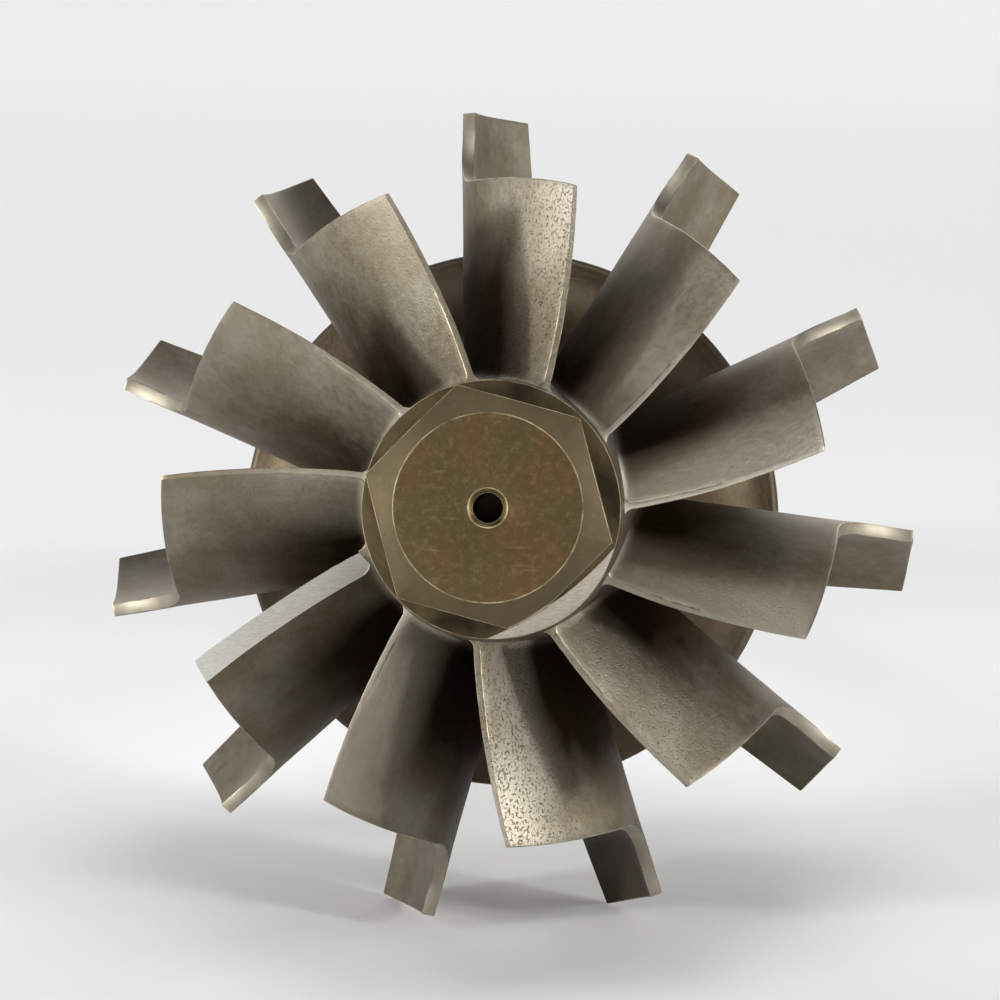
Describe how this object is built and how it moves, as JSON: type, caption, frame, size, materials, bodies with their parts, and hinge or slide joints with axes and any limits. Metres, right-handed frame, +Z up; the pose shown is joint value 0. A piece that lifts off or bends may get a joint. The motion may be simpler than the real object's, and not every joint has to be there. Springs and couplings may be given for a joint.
{
  "type": "turbocharger turbine wheel and shaft",
  "caption": "Radial turbine wheel with curved cast blades, a small back disc and a hexagonal nose, on a stepped steel shaft with a threaded end.",
  "frame": {"origin": "on the floor, under the middle of the part's box, with the rotor resting on two blade tips and on its threaded end", "axes": "+Z up, +Y from the nose towards the threaded end, which lies lower; the rotor's axis is tilted 15.2 degrees about X"},
  "size_m": [0.0752, 0.1602, 0.074],
  "materials": {
    "cast_nickel_alloy": "fine sandy investment cast skin, warm grey brown, with bright turned edges",
    "ground_steel": "ground and polished",
    "ring_iron": "dark lapped"
  },
  "bodies": {
    "root": {"wheel_casting": "cast_nickel_alloy", "rotor_shaft": "ground_steel", "seal_ring": "ring_iron"}
  },
  "joints": []
}
